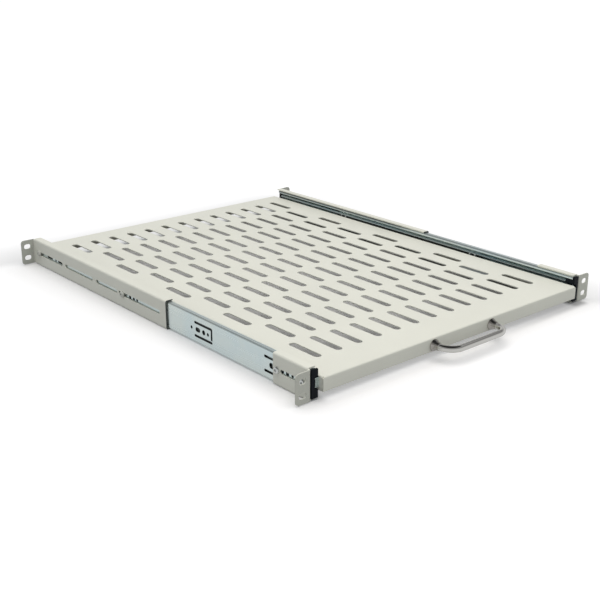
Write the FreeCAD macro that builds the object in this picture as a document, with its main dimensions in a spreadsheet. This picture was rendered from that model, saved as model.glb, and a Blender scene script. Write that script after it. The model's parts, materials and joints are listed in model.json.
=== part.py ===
import FreeCAD, Part
import math
import os

import Sketcher
from FreeCAD import Vector

# Sliding rack shelf, in millimetres. X points right, Y from the front to the rear, Z up.
# The origin is the centre of the four front rack holes, in the plane where the ears meet the posts.
# The right-hand pieces are modelled, and the left-hand ones are their mirror images.

SIZES = {
    # Rack interface
    "ear_span": 482.6,
    "hole_span": 465.1,
    "hole_rise": 15.875,
    "ear_slot_length": 10.0,
    "ear_slot_width": 6.8,
    "ear_height": 34.0,
    "ear_corner": 4.0,
    # Brackets
    "bracket_half": 223.0,
    "bracket_gauge": 1.5,
    "bracket_height": 36.0,
    "bracket_flange": 10.0,
    "bracket_bend": 1.0,
    "flange_setback": 2.5,
    "front_bracket_length": 56.5,
    "rear_bracket_front": 254.0,
    "rear_ear_face": 586.0,
    "adjust_slot_width": 5.0,
    # Telescopic slides
    "rail_gap": 0.5,
    "rail_gauge": 1.2,
    "rail_height": 32.4,
    "slide_depth": 11.8,
    "outer_bend": 1.0,
    "inner_bend": 0.6,
    "ball_diameter": 3.0,
    "race_clearance": 0.1,
    "cage_gauge": 0.5,
    "cage_clearance": 0.3,
    "outer_rail_front": 2.0,
    "outer_rail_length": 576.0,
    "middle_rail_front": 11.5,
    "middle_rail_length": 558.5,
    "inner_rail_front": 1.0,
    "inner_rail_length": 569.0,
    "end_tab_reach": 4.6,
    "end_tab_height": 11.0,
    "cage_front": 151.0,
    "cage_length": 282.0,
    "ball_spacing": 9.0,
    "ball_margin": 8.0,
    "cap_front": -1.2,
    "cap_length": 2.9,
    "stop_front": 572.0,
    "stop_length": 5.0,
    # Sprung tongues punched in the outer rail
    "lance_length": 34.5,
    "lance_width": 3.0,
    "lance_rise": 8.0,
    "lance_drop": 5.4,
    # Tray
    "tray_top": 6.8,
    "tray_front": -6.0,
    "tray_depth": 591.0,
    "tray_gauge": 1.5,
    "tray_bend": 2.0,
    "lip_height": 16.0,
    "slot_length": 48.0,
    "slot_width": 9.0,
    "slot_pitch": 29.5,
    "row_pitch": 59.0,
    "row_front": 59.5,
    "corner_slit": 1.0,
    # Handle
    "handle_span": 96.0,
    "handle_reach": 25.0,
    "handle_bend": 17.0,
    "handle_height": -1.9,
    "bar_diameter": 8.0,
    "collar_diameter": 14.0,
    "collar_tip": 9.0,
    "collar_length": 8.0,
    # Screws
    "screw_diameter": 4.0,
    "screw_head": 8.0,
    "head_height": 2.4,
    "head_rim": 0.9,
    "hole_diameter": 4.3,
    "clamp_gap": 0.1,
    "washer_diameter": 9.0,
    "front_screw": 9.0,
    "front_screw_pitch": 41.0,
    "clamp_screw": 350.5,
    "clamp_screw_pitch": 217.5,
    "tray_screw": 35.0,
    "tray_screw_pitch": 170.0,
    "tray_screw_reach": 3.5,
    "handle_screw_depth": 9.0,
}

FULL_ROW_SLOTS = 13
SHORT_ROW_SLOTS = 12
FULL_ROWS = 5
SHORT_ROWS = 4
TRAY_SCREWS_PER_SIDE = 4
# Front and rear ends of the rear bracket's adjusting slots
ADJUST_SLOTS = [(267.0, 360.0), (363.0, 415.0), (423.0, 496.0), (503.0, 575.0)]
# Front and rear ends of the front bracket's slot over the rail's row of holes
FRONT_SLOT = (15.0, 45.0)
# Rear ends of the outer rail's two sprung tongues, of which the second is also cut across its front
TONGUE_ENDS = [73.5, 199.5]
# Place along Y and diameter of each hole punched in the outer rail
PUNCHED_HOLES = [(20.5, 3.8), (27.5, 3.8), (35.5, 5.0), (43.5, 5.0), (173.5, 4.0), (181.5, 5.8), (205.0, 3.8),
                 (320.0, 3.8), (327.5, 4.4), (336.0, 5.0), (525.0, 3.8)]
# Front end, rear end and width of the outer rail's short slots
PUNCHED_SLOTS = [(56.4, 65.0, 6.4), (188.2, 197.2, 5.4), (505.0, 519.0, 3.0), (534.0, 549.0, 3.0)]
# Straight chords that stand for half a turn of a small round
HALF_TURN_CHORDS = 3
# Angles of the ball races, in degrees about the ball's centre
RACE_ENTRY = 60.0
LIP_END = -10.0
HOOD_END = 45.0
RACE_END = 215.0

doc = FreeCAD.newDocument("SlidingRackShelf")
sheet = doc.addObject("Spreadsheet::Sheet", "Sizes")
for row, (alias, number) in enumerate(SIZES.items(), start=1):
    sheet.set(f"A{row}", alias.replace("_", " "))
    sheet.set(f"B{row}", str(number))
    sheet.setAlias(f"B{row}", alias)
doc.recompute()

TRAY_HALF = "(Sizes.bracket_half - Sizes.bracket_gauge - Sizes.rail_gap - Sizes.slide_depth)"
TRAY_REAR = "(Sizes.tray_front + Sizes.tray_depth)"
LIP_BOTTOM = "(Sizes.tray_top - Sizes.lip_height)"
LIP_TOP = "(Sizes.tray_top - Sizes.tray_bend)"
RAIL_BACK = "(Sizes.bracket_half - Sizes.bracket_gauge - Sizes.rail_gap)"

sub_parts = []


def size(formula):
    """Return the number that a sheet formula gives."""
    return float(sheet.evalExpression(str(formula)))


def new_body(label):
    """Start one sub-part that is made of sketches and features."""
    body = doc.addObject("PartDesign::Body", label)
    body.Label = label
    sub_parts.append(body)
    return body


def new_sketch(body, name, role, offset="0"):
    """Start a sketch on one of the body's own planes, moved along the plane's normal."""
    sketch = body.newObject("Sketcher::SketchObject", name)
    plane = next(item for item in body.Origin.OriginFeatures if item.Role == role)
    sketch.AttachmentSupport = (plane, [""])
    sketch.MapMode = "FlatFace"
    sketch.setExpression("AttachmentOffset.Base.z", offset)
    return sketch


def add_feature(body, kind, name, sketch, length=None, symmetric=False, backwards=False):
    """Add a pad or a pocket of a sketch, through everything where it has no length."""
    feature = body.newObject(f"PartDesign::{kind}", name)
    feature.Profile = sketch
    feature.Reversed = backwards
    if symmetric:
        feature.SideType = "Symmetric"
    if length is None:
        feature.Type = "ThroughAll"
    else:
        feature.setExpression("Length", length)
    return feature


def cut(body, name, sketch, length=None, symmetric=True, backwards=False):
    """Add a pocket, and stop if it removes nothing."""
    doc.recompute()
    before = body.Shape.Volume
    pocket = add_feature(body, "Pocket", name, sketch, length, symmetric, backwards)
    doc.recompute()
    if body.Shape.Volume > before - 0.01:
        raise RuntimeError(f"{body.Label}: {name} cuts nothing")
    return pocket


def hold(sketch, geometry, point, x_formula, y_formula):
    """Tie one point of a sketch to the formulas of its two coordinates."""
    for kind, axis, formula in (("DistanceX", -2, x_formula), ("DistanceY", -1, y_formula)):
        number = size(formula)
        if abs(number) < 1e-9:
            sketch.addConstraint(Sketcher.Constraint("PointOnObject", geometry, point, axis))
        else:
            index = sketch.addConstraint(Sketcher.Constraint(kind, -1, 1, geometry, point, number))
            sketch.setExpression(f"Constraints[{index}]", str(formula))


def draw_rectangle(sketch, x_low, y_low, x_high, y_high):
    """Draw a rectangle between two corners given as formulas."""
    xs = (size(x_low), size(x_high))
    ys = (size(y_low), size(y_high))
    corners = [Vector(xs[0], ys[0], 0), Vector(xs[1], ys[0], 0),
               Vector(xs[1], ys[1], 0), Vector(xs[0], ys[1], 0)]
    first = sketch.GeometryCount
    for start, end in zip(corners, corners[1:] + corners[:1]):
        sketch.addGeometry(Part.LineSegment(start, end))
    for side in range(4):
        sketch.addConstraint(
            Sketcher.Constraint("Coincident", first + side, 2, first + (side + 1) % 4, 1))
        direction = "Vertical" if side % 2 else "Horizontal"
        sketch.addConstraint(Sketcher.Constraint(direction, first + side))
    hold(sketch, first, 1, x_low, y_low)
    hold(sketch, first + 2, 1, x_high, y_high)


def draw_slot(sketch, x, y, length, width, upright=False):
    """Draw a round-ended slot about its centre, along the sketch's first or second axis."""
    middle = Vector(size(x), size(y), 0)
    radius = size(width) / 2
    reach = size(length) / 2 - radius
    along = Vector(0, 1, 0) if upright else Vector(1, 0, 0)
    across = Vector(-along.y, along.x, 0)
    ends = [middle + along * reach, middle - along * reach]
    sides = [across * radius, across * -radius]
    sketch.addGeometry(Part.LineSegment(ends[0] + sides[0], ends[1] + sides[0]))
    sketch.addGeometry(Part.Arc(ends[1] + sides[0], ends[1] - along * radius, ends[1] + sides[1]))
    sketch.addGeometry(Part.LineSegment(ends[1] + sides[1], ends[0] + sides[1]))
    sketch.addGeometry(Part.Arc(ends[0] + sides[1], ends[0] + along * radius, ends[0] + sides[0]))


def arc_points(centre, radius, start, turn, chords):
    """Return the ends of the equal chords that stand for an arc, with its angles in degrees."""
    angles = [math.radians(start + turn * step / chords) for step in range(chords + 1)]
    return [centre + Vector(math.cos(angle), math.sin(angle), 0) * radius for angle in angles]


def draw_outline(sketch, points):
    """Draw the closed outline of straight lines through a list of points."""
    for start, end in zip(points, points[1:] + points[:1]):
        sketch.addGeometry(Part.LineSegment(start, end))


def draw_pin(sketch, x, y, diameter, chords=2 * HALF_TURN_CHORDS):
    """Draw a small round pin as chords inside its circle."""
    centre = Vector(size(x), size(y), 0)
    draw_outline(sketch, arc_points(centre, size(diameter) / 2, 0, 360, chords)[:-1])


def draw_hole(sketch, x, y, diameter, chords=2 * HALF_TURN_CHORDS):
    """Draw a small round hole as chords that touch its circle from outside."""
    draw_pin(sketch, x, y, f"({diameter}) / cos(180 deg / {chords})", chords)


def draw_punched_slot(sketch, x, y, length, width, upright=False):
    """Draw a slot like draw_slot, with chords for its round ends."""
    middle = Vector(size(x), size(y), 0)
    radius = size(width) / 2
    turn = 90 if upright else 0
    reach = Vector(0, 1, 0) if upright else Vector(1, 0, 0)
    reach = reach * (size(length) / 2 - radius)
    ends = arc_points(middle + reach, radius, turn - 90, 180, HALF_TURN_CHORDS)
    ends += arc_points(middle - reach, radius, turn + 90, 180, HALF_TURN_CHORDS)
    draw_outline(sketch, ends)


def pattern(body, name, sources, counts, pitches, axes):
    """Repeat features along one or more of the body's own axes."""
    steps = []
    multi = body.newObject("PartDesign::MultiTransform", name)
    multi.Originals = sources
    for count, pitch, role in zip(counts, pitches, axes):
        step = body.newObject("PartDesign::LinearPattern", f"{name}_{role}")
        axis = next(item for item in body.Origin.OriginFeatures if item.Role == role)
        step.Direction = (axis, [""])
        step.Mode = "Extent"
        step.setExpression("Length", f"{pitch} * {count - 1}")
        step.Occurrences = count
        steps.append(step)
    multi.Transformations = steps
    body.Tip = multi
    return multi


def offset_run(run, shift):
    """Return the points of a line or an arc moved to the left of its direction by a distance."""
    if run[0] == "line":
        start, end = run[1:]
        direction = (end - start).normalize()
        left = Vector(-direction.y, direction.x, 0) * shift
        return [start + left, end + left]
    centre, radius, start, end = run[1:]
    radius += shift if end < start else -shift
    angles = [math.radians(angle) for angle in (start, (start + end) / 2, end)]
    return [centre + Vector(math.cos(angle), math.sin(angle), 0) * radius for angle in angles]


def whole_section(runs):
    """Return the middle line of a C-section from that of its upper half, which starts above the web."""
    def flip(point):
        return Vector(point.x, -point.y, 0)

    lower = []
    for run in reversed(runs):
        if run[0] == "line":
            lower.append(("line", flip(run[2]), flip(run[1])))
        else:
            lower.append(("arc", flip(run[1]), run[2], -run[4], -run[3]))
    above_web = offset_run(runs[0], 0)[0]
    return lower + [("line", flip(above_web), above_web)] + runs


def draw_strip(sketch, runs, gauge, back=None):
    """Draw the closed outline of a bent strip about its middle line.

    With a back, the line is given as (depth, height) and its depth runs inwards from there.
    """
    def edge(points):
        placed = points if back is None else [Vector(back - point.x, point.y, 0) for point in points]
        curve = Part.LineSegment if len(placed) == 2 else Part.Arc
        sketch.addGeometry(curve(*placed))

    sides = [[offset_run(run, shift) for run in runs] for shift in (gauge / 2, -gauge / 2)]
    for side in sides:
        for points in side:
            edge(points)
    edge([side[0][0] for side in sides])
    edge([side[-1][-1] for side in sides])


def corner_run(web, flange, bend):
    """Return the arc from an upright web at one depth to a flange at one height."""
    return ("arc", Vector(web + bend, flange - bend, 0), bend, 180, 90)


def channel_runs(web, flange, bend, reach):
    """Return the middle line of a plain channel: a corner, then a flat flange."""
    return [corner_run(web, flange, bend),
            ("line", Vector(web + bend, flange, 0), Vector(reach, flange, 0))]


# Centres of the two ball rows of a slide, as (depth, height) from the back of the outer rail
GAUGE = size("Sizes.rail_gauge")
RACE = size("(Sizes.ball_diameter + Sizes.rail_gauge) / 2 + Sizes.race_clearance")
FOLD = size("Sizes.inner_bend + Sizes.rail_gauge / 2")
CAGE_ROOM = size("Sizes.cage_gauge + 2 * Sizes.cage_clearance")
ENTRY = Vector(math.cos(math.radians(RACE_ENTRY)), math.sin(math.radians(RACE_ENTRY)), 0)
MIDDLE_WEB = 1.5 * GAUGE + CAGE_ROOM
INNER_WEB = size("Sizes.slide_depth") - GAUGE / 2
OUTER_FLANGE = size("Sizes.rail_height") / 2 - GAUGE / 2
OUTER_BALL = Vector(MIDDLE_WEB + FOLD + (RACE + FOLD) * ENTRY.x, OUTER_FLANGE - RACE, 0)
INNER_BALL_DEPTH = INNER_WEB - FOLD - (RACE + FOLD) * ENTRY.x
# The middle rail's flank slopes from under the outer balls to over the inner ones
SLOPE = Vector(ENTRY.y, -ENTRY.x, 0)
FLANK = (INNER_BALL_DEPTH - OUTER_BALL.x + 2 * RACE * ENTRY.x) / SLOPE.x
INNER_BALL = OUTER_BALL - ENTRY * (2 * RACE) + SLOPE * FLANK


def outer_rail_runs():
    """Return the fixed rail's section: web, corner, flange and a lip curled round the balls."""
    bend = size("Sizes.outer_bend") + GAUGE / 2
    flange = channel_runs(GAUGE / 2, OUTER_FLANGE, bend, OUTER_BALL.x)
    return flange + [("arc", OUTER_BALL, RACE, 90, LIP_END)]


def middle_rail_runs():
    """Return the middle rail's section: a flank between the two rows of balls, turned down at its end."""
    shoulder = OUTER_BALL - ENTRY * (RACE + FOLD)
    return [("arc", shoulder, FOLD, 180, RACE_ENTRY),
            ("line", OUTER_BALL - ENTRY * RACE, INNER_BALL + ENTRY * RACE),
            ("arc", INNER_BALL, RACE, RACE_ENTRY, HOOD_END)]


def inner_rail_runs():
    """Return the inner rail's section: a web on the tray's side and a trough under the inner balls."""
    shoulder = INNER_BALL + Vector(ENTRY.x, -ENTRY.y, 0) * (RACE + FOLD)
    return [("arc", shoulder, FOLD, 0, 180 - RACE_ENTRY),
            ("arc", INNER_BALL, RACE, 360 - RACE_ENTRY, RACE_END)]


def make_rail(label, runs, front, length):
    """Roll one rail along Y from its section."""
    body = new_body(label)
    sketch = new_sketch(body, f"{label}_section", "XZ_Plane", f"-{front}")
    draw_strip(sketch, whole_section(runs), GAUGE, size(RAIL_BACK))
    add_feature(body, "Pad", f"{label}_roll", sketch, length, backwards=True)
    return body


def punch_tongues(body):
    """Punch the two sprung tongues of the outer rail: long cuts above and below, one joined at its front."""
    length = "Sizes.lance_length"
    width = "Sizes.lance_width"
    rise = "Sizes.lance_rise"
    sketch = new_sketch(body, "tongue_cuts", "YZ_Plane")
    for rear_end in TONGUE_ENDS:
        for height in (rise, f"-{rise}"):
            draw_punched_slot(sketch, f"{rear_end} - {length} / 2", height, length, width)
    cut(body, "punch_tongues", sketch)
    across = new_sketch(body, "tongue_front", "YZ_Plane")
    front = f"{TONGUE_ENDS[-1]} - {length}"
    draw_rectangle(across, front, "-Sizes.lance_drop", f"{front} + {width}", rise)
    cut(body, "punch_tongue_front", across)


def make_outer_rail():
    """Make the fixed rail with its punched tongues, slots and holes and the holes of its screws."""
    body = make_rail("outer_rail_right", outer_rail_runs(), "Sizes.outer_rail_front",
                     "Sizes.outer_rail_length")
    punch_tongues(body)
    sketch = new_sketch(body, "outer_rail_holes", "YZ_Plane")
    for place, diameter in PUNCHED_HOLES:
        draw_hole(sketch, place, "0", diameter)
    for low, high, width in PUNCHED_SLOTS:
        draw_punched_slot(sketch, (low + high) / 2, "0", high - low, width)
    for first, pitch in (("Sizes.front_screw", "Sizes.front_screw_pitch"),
                         ("Sizes.clamp_screw", "Sizes.clamp_screw_pitch")):
        for place in (first, f"{first} + {pitch}"):
            draw_hole(sketch, place, "0", "Sizes.hole_diameter")
    cut(body, "punch_outer_rail", sketch)


def tray_screw_places():
    """Return the formulas of the tray screws' places along the rail."""
    return [f"Sizes.tray_screw + {number} * Sizes.tray_screw_pitch"
            for number in range(TRAY_SCREWS_PER_SIDE)]


def make_inner_rail():
    """Make the rail that carries the tray, with the holes of the tray's screws and a tab across its front."""
    body = make_rail("inner_rail_right", inner_rail_runs(), "Sizes.inner_rail_front",
                     "Sizes.inner_rail_length")
    sketch = new_sketch(body, "inner_rail_screw_holes", "YZ_Plane")
    for place in tray_screw_places():
        draw_hole(sketch, place, "0", "Sizes.hole_diameter")
    cut(body, "drill_inner_rail", sketch)
    tab = new_sketch(body, "inner_rail_end_tab", "XZ_Plane", "-Sizes.inner_rail_front")
    draw_rectangle(tab, TRAY_HALF, "-Sizes.end_tab_height / 2",
                   f"{TRAY_HALF} + Sizes.end_tab_reach", "Sizes.end_tab_height / 2")
    add_feature(body, "Pad", "inner_rail_end_stop", tab, "Sizes.rail_gauge", backwards=True)


def ball_places():
    """Return the distances of the balls along Y, in a pair at each end of the cage."""
    front = "Sizes.cage_front + Sizes.ball_margin"
    rear = "Sizes.cage_front + Sizes.cage_length - Sizes.ball_margin"
    return [front, f"{front} + Sizes.ball_spacing", f"{rear} - Sizes.ball_spacing", rear]


def make_cage(name, web, ball):
    """Make one ball cage, a thin channel with a hole for each ball, and its balls."""
    body = new_body(f"{name}_cage_right")
    gauge = size("Sizes.cage_gauge")
    sketch = new_sketch(body, f"{name}_cage_section", "XZ_Plane", "-Sizes.cage_front")
    reach = ball.x + size("Sizes.ball_diameter") * 0.4
    runs = channel_runs(web, ball.y, FOLD, reach)
    draw_strip(sketch, whole_section(runs), gauge, size(RAIL_BACK))
    add_feature(body, "Pad", f"{name}_cage_roll", sketch, "Sizes.cage_length", backwards=True)
    holes = new_sketch(body, f"{name}_cage_holes", "XY_Plane")
    row = f"{RAIL_BACK} - {ball.x}"
    for place in ball_places():
        draw_hole(holes, row, place, "Sizes.ball_diameter + Sizes.race_clearance")
    cut(body, f"{name}_cage_pierce", holes)
    make_balls(name, row, ball.y)


def make_balls(name, row, height):
    """Make a cage's balls as bevelled octagons, in an upper and a lower row."""
    body = new_body(f"{name}_balls_right")
    half = math.pi / (2 * HALF_TURN_CHORDS)
    across = f"Sizes.ball_diameter * {math.cos(half)}"
    first, second, _, last = ball_places()
    sketch = new_sketch(body, f"{name}_ball_round", "XY_Plane", f"-{height}")
    draw_pin(sketch, row, first, across)
    ball = add_feature(body, "Pad", f"{name}_ball", sketch, across, symmetric=True)
    pattern(body, f"{name}_ball_rows", [ball], [2, 2, 2],
            ["Sizes.ball_spacing", f"({last}) - ({second})", f"{2 * height}"],
            ["Y_Axis", "Y_Axis", "Z_Axis"])
    levels = [row_height + side * size(across) / 2 for row_height in (-height, height) for side in (-1, 1)]
    bevel = f"Sizes.ball_diameter * {(math.cos(half) ** 2 - math.sin(half)) / 2}"
    dress_edges(body, "Chamfer", f"{name}_ball_bevels", bevel,
                lambda edge: any(edge_lies(edge, z=level) for level in levels))


def make_bumper():
    """Make the plastic bumper on the front end of the middle rail, with a cap that covers the rails' ends."""
    body = new_body("middle_bumper_right")
    deep = MIDDLE_WEB - GAUGE / 2
    inner = f"{RAIL_BACK} - {INNER_BALL.x + RACE / 2}"
    sketch = new_sketch(body, "bumper_block", "XZ_Plane", "-Sizes.cap_front")
    tall = OUTER_BALL.y - RACE + FOLD
    draw_rectangle(sketch, inner, f"-{tall}", f"{RAIL_BACK} - {deep}", f"{tall}")
    add_feature(body, "Pad", "bumper_pad", sketch, "Sizes.middle_rail_front - Sizes.cap_front",
                backwards=True)
    cap = new_sketch(body, "bumper_cap_outline", "XZ_Plane", "-Sizes.cap_front")
    edge = "(Sizes.rail_height / 2 - Sizes.cage_clearance)"
    draw_rectangle(cap, inner, f"-{edge}", f"{RAIL_BACK} - Sizes.cage_clearance", edge)
    add_feature(body, "Pad", "bumper_cap", cap, "Sizes.cap_length", backwards=True)
    window = new_sketch(body, "bumper_window", "XZ_Plane")
    low = INNER_BALL.y - FOLD / 2
    draw_rectangle(window, f"{RAIL_BACK} - Sizes.slide_depth", f"-{low}",
                   f"{RAIL_BACK} - {MIDDLE_WEB + RACE}", f"{low}")
    cut(body, "bumper_mouth", window)


def make_rear_stop():
    """Make the rubber block that stops the rails at the rear end of the outer rail."""
    body = new_body("rear_stop_right")
    sketch = new_sketch(body, "stop_block", "XZ_Plane", "-Sizes.stop_front")
    tall = OUTER_BALL.y - RACE + FOLD
    draw_rectangle(sketch, f"{RAIL_BACK} - {OUTER_BALL.x + RACE}", f"-{tall}",
                   f"{RAIL_BACK} - Sizes.rail_gauge", f"{tall}")
    add_feature(body, "Pad", "stop_pad", sketch, "Sizes.stop_length", backwards=True)


def dress_edges(body, kind, name, length, chosen):
    """Round or bevel the edges of the body's last shape that a test picks."""
    doc.recompute()
    tip = body.Tip
    edges = [f"Edge{number}" for number, edge in enumerate(tip.Shape.Edges, start=1) if chosen(edge)]
    if not edges:
        raise RuntimeError(f"{body.Label}: no edge for {name}")
    feature = body.newObject(f"PartDesign::{kind}", name)
    feature.Base = (tip, edges)
    feature.setExpression("Radius" if kind == "Fillet" else "Size", length)
    doc.recompute()


def edge_lies(edge, x=None, y=None, z=None):
    """Tell whether a straight edge lies wholly at the given coordinates."""
    ends = [vertex.Point for vertex in edge.Vertexes]
    return all(number is None or all(abs(getattr(end, axis) - number) < 1e-6 for end in ends)
               for axis, number in (("x", x), ("y", y), ("z", z)))


def make_bracket(label, front, rear, ear_face, slots):
    """Fold one bracket: a channel that wraps the rail, and an ear turned out at one end.

    ear_face is the ear's outer face. The channel's flanges stop short of it, so that the web can bend.
    """
    body = new_body(label)
    gauge = size("Sizes.bracket_gauge")
    bend = size("Sizes.bracket_bend") + gauge / 2
    half = size("Sizes.bracket_half")
    flange = size("Sizes.bracket_height") / 2 - gauge / 2
    runs = channel_runs(gauge / 2, flange, bend, size("Sizes.bracket_flange"))
    channel = new_sketch(body, f"{label}_section", "XZ_Plane", f"-({front})")
    draw_strip(channel, whole_section(runs), gauge, half)
    add_feature(body, "Pad", f"{label}_channel", channel, f"{rear} - ({front})", backwards=True)

    inward = 1 if size(ear_face) < size(front) else -1
    outer = size("Sizes.ear_span / 2")
    middle = half - gauge / 2
    ear_middle = size(ear_face) + inward * gauge / 2
    web_end = Vector(middle, size(front if inward > 0 else rear), 0)
    turn = Vector(middle + bend, ear_middle + inward * bend, 0)
    fold = new_sketch(body, f"{label}_fold", "XY_Plane")
    draw_strip(fold, [("line", web_end, Vector(middle, turn.y, 0)),
                      ("arc", turn, bend, 180, 180 + inward * 90),
                      ("line", Vector(turn.x, ear_middle, 0), Vector(outer, ear_middle, 0))], gauge)
    add_feature(body, "Pad", f"{label}_ear", fold, "Sizes.ear_height", symmetric=True)
    tall = size("Sizes.ear_height / 2")
    dress_edges(body, "Fillet", f"{label}_ear_corners", "Sizes.ear_corner",
                lambda edge: edge_lies(edge, x=outer, z=tall) or edge_lies(edge, x=outer, z=-tall))
    ear_slots = new_sketch(body, f"{label}_ear_slots", "XZ_Plane", f"-({ear_face})")
    for rise in ("Sizes.hole_rise / 2", "-Sizes.hole_rise / 2"):
        draw_slot(ear_slots, "Sizes.hole_span / 2", rise, "Sizes.ear_slot_length", "Sizes.ear_slot_width")
    cut(body, f"{label}_ear_pierce", ear_slots, "4 * Sizes.bracket_gauge")

    openings = new_sketch(body, f"{label}_slots", "YZ_Plane")
    for low, high in slots:
        draw_punched_slot(openings, (low + high) / 2, "0", high - low, "Sizes.adjust_slot_width")
    return body, openings


def make_front_bracket():
    """Make the short front bracket, screwed to the rail through round holes."""
    body, openings = make_bracket("front_bracket_right", "Sizes.flange_setback", "Sizes.front_bracket_length",
                                  "-Sizes.bracket_gauge", [FRONT_SLOT])
    for place in ("Sizes.front_screw", "Sizes.front_screw + Sizes.front_screw_pitch"):
        draw_hole(openings, place, "0", "Sizes.hole_diameter")
    cut(body, "front_bracket_pierce", openings)


def make_rear_bracket():
    """Make the long rear bracket, which slides on its clamp screws."""
    rear = "Sizes.rear_ear_face - Sizes.bracket_gauge - Sizes.flange_setback"
    body, openings = make_bracket("rear_bracket_right", "Sizes.rear_bracket_front", rear,
                                  "Sizes.rear_ear_face", ADJUST_SLOTS)
    cut(body, "rear_bracket_pierce", openings)


def make_screw(body, name, role, centre, seat, tip, outward):
    """Make one pan-head screw along a plane's normal, and return its shank and head."""
    round_shank = new_sketch(body, f"{name}_shank_round", role, seat)
    draw_pin(round_shank, *centre, "Sizes.screw_diameter")
    shank = add_feature(body, "Pad", f"{name}_shank", round_shank, f"abs({seat} - ({tip}))",
                        backwards=outward > 0)
    round_head = new_sketch(body, f"{name}_head_round", role, seat)
    draw_pin(round_head, *centre, "Sizes.screw_head", 4 * HALF_TURN_CHORDS)
    head = add_feature(body, "Pad", f"{name}_head", round_head, "Sizes.head_height", backwards=outward < 0)
    return [shank, head]


def make_screws(label, seat, tip, outward, place, count, pitch):
    """Make a row of screws that point along X."""
    body = new_body(label)
    screw = make_screw(body, label, "YZ_Plane", (place, "0"), seat, tip, outward)
    pattern(body, f"{label}_row", screw, [count], [pitch], ["Y_Axis"])
    top = size(f"{seat} + {outward} * Sizes.head_height")
    dress_edges(body, "Chamfer", f"{label}_crowns", "Sizes.head_height - Sizes.head_rim",
                lambda edge: edge_lies(edge, x=top))


def make_side_screws():
    """Make the screws of one side: front bracket, rear clamp and tray."""
    tip = f"{RAIL_BACK} - Sizes.rail_gauge"
    make_screws("front_screws_right", "Sizes.bracket_half", tip, 1,
                "Sizes.front_screw", 2, "Sizes.front_screw_pitch")
    make_screws("clamp_screws_right", "Sizes.bracket_half + Sizes.clamp_gap", tip, 1,
                "Sizes.clamp_screw", 2, "Sizes.clamp_screw_pitch")
    make_screws("tray_screws_right", f"{TRAY_HALF} - Sizes.tray_gauge",
                f"{TRAY_HALF} + Sizes.tray_screw_reach", -1,
                "Sizes.tray_screw", TRAY_SCREWS_PER_SIDE, "Sizes.tray_screw_pitch")


def make_spacers():
    """Make the thin washers between the rail and its two brackets."""
    body = new_body("rail_spacers_right")
    for name, first, pitch, thickness in (
            ("front", "Sizes.front_screw", "Sizes.front_screw_pitch", "Sizes.rail_gap"),
            ("rear", "Sizes.clamp_screw", "Sizes.clamp_screw_pitch", "Sizes.rail_gap - Sizes.clamp_gap")):
        sketch = new_sketch(body, f"{name}_washers", "YZ_Plane", RAIL_BACK)
        for place in (first, f"{first} + {pitch}"):
            draw_pin(sketch, place, "0", "Sizes.washer_diameter")
            draw_hole(sketch, place, "0", "Sizes.hole_diameter")
        add_feature(body, "Pad", f"{name}_washer_pad", sketch, thickness)


def make_deck():
    """Make the tray's deck: a slotted sheet rolled down at its edges as far as the end of each fold."""
    body = new_body("shelf_deck")
    blank = new_sketch(body, "deck_blank", "XY_Plane", LIP_BOTTOM)
    draw_rectangle(blank, f"-{TRAY_HALF}", "Sizes.tray_front", TRAY_HALF, TRAY_REAR)
    add_feature(body, "Pad", "deck_block", blank, "Sizes.lip_height")
    top = size("Sizes.tray_top")
    dress_edges(body, "Fillet", "deck_fold", "Sizes.tray_bend", lambda edge: edge_lies(edge, z=top))

    hollow = new_sketch(body, "deck_hollow", "XY_Plane", LIP_BOTTOM)
    gauge = "Sizes.tray_gauge"
    draw_rectangle(hollow, f"-{TRAY_HALF} + {gauge}", f"Sizes.tray_front + {gauge}",
                   f"{TRAY_HALF} - {gauge}", f"{TRAY_REAR} - {gauge}")
    cut(body, "deck_underside", hollow, f"Sizes.lip_height - {gauge}", symmetric=False, backwards=True)
    roof = size(f"Sizes.tray_top - {gauge}")
    dress_edges(body, "Fillet", "deck_inner_fold", f"Sizes.tray_bend - {gauge}",
                lambda edge: edge_lies(edge, z=roof))
    below = new_sketch(body, "deck_fold_end", "XY_Plane", LIP_TOP)
    draw_rectangle(below, f"-{TRAY_HALF}", "Sizes.tray_front", TRAY_HALF, TRAY_REAR)
    cut(body, "deck_trim", below, "Sizes.lip_height", symmetric=False)

    for name, slots, rows, first_row in (("full", FULL_ROW_SLOTS, FULL_ROWS, "Sizes.row_front"),
                                         ("short", SHORT_ROW_SLOTS, SHORT_ROWS,
                                          "Sizes.row_front + Sizes.row_pitch")):
        sketch = new_sketch(body, f"{name}_row_slot", "XY_Plane", "Sizes.tray_top")
        draw_punched_slot(sketch, f"-Sizes.slot_pitch * {(slots - 1) / 2}", first_row,
                          "Sizes.slot_length", "Sizes.slot_width", upright=True)
        slot = cut(body, f"{name}_slot", sketch, "2 * Sizes.tray_gauge", symmetric=True)
        pattern(body, f"{name}_grid", [slot], [slots, rows], ["Sizes.slot_pitch", "2 * Sizes.row_pitch"],
                ["X_Axis", "Y_Axis"])
        doc.recompute()


def make_lip(label, x_low, y_low, x_high, y_high):
    """Make one flat lip that hangs from the deck's fold, and return its body."""
    body = new_body(label)
    sketch = new_sketch(body, f"{label}_outline", "XY_Plane", LIP_BOTTOM)
    draw_rectangle(sketch, x_low, y_low, x_high, y_high)
    add_feature(body, "Pad", f"{label}_sheet", sketch, f"{LIP_TOP} - {LIP_BOTTOM}")
    return body


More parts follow.
